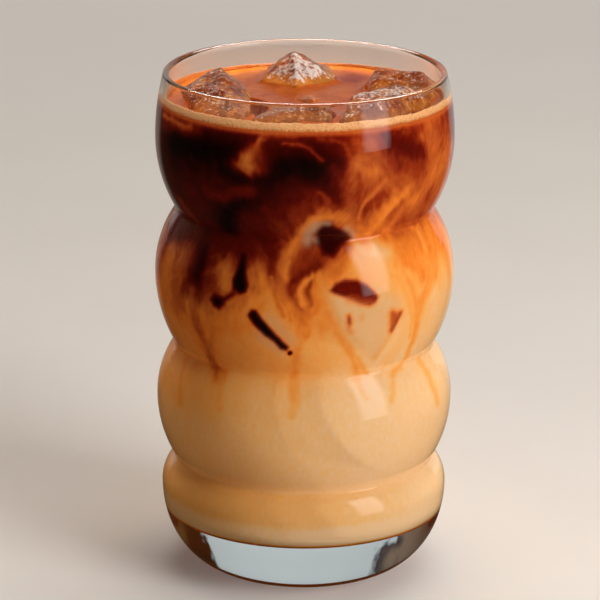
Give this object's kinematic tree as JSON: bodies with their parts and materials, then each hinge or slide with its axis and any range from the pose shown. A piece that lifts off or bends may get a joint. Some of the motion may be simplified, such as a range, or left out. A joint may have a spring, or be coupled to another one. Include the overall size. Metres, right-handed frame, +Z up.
{
  "type": "iced latte in a glass",
  "caption": "Iced latte with swirled coffee over milk, a thin foam ring and ice cubes, in a clear ripple tumbler with a thick rounded base.",
  "frame": {"origin": "centre of the glass's base, on the surface it stands on", "axes": "+Z up along the glass's axis, -Y towards the front that the picture shows, +X to that view's right"},
  "size_m": [0.0856, 0.0856, 0.1469],
  "materials": {
    "glass": "clear polished",
    "milk": "smooth milky liquid",
    "coffee": "smooth dark liquid with paler swirls",
    "crema": "fine foam",
    "ice": "wet, partly frosted"
  },
  "bodies": {
    "root": {"glass": "glass", "milk": "milk", "coffee": "coffee", "crema": "crema", "ice_left": "ice", "ice_back": "ice", "ice_right_back": "ice", "ice_right_front": "ice", "ice_front": "ice", "ice_middle": "ice"}
  },
  "joints": []
}
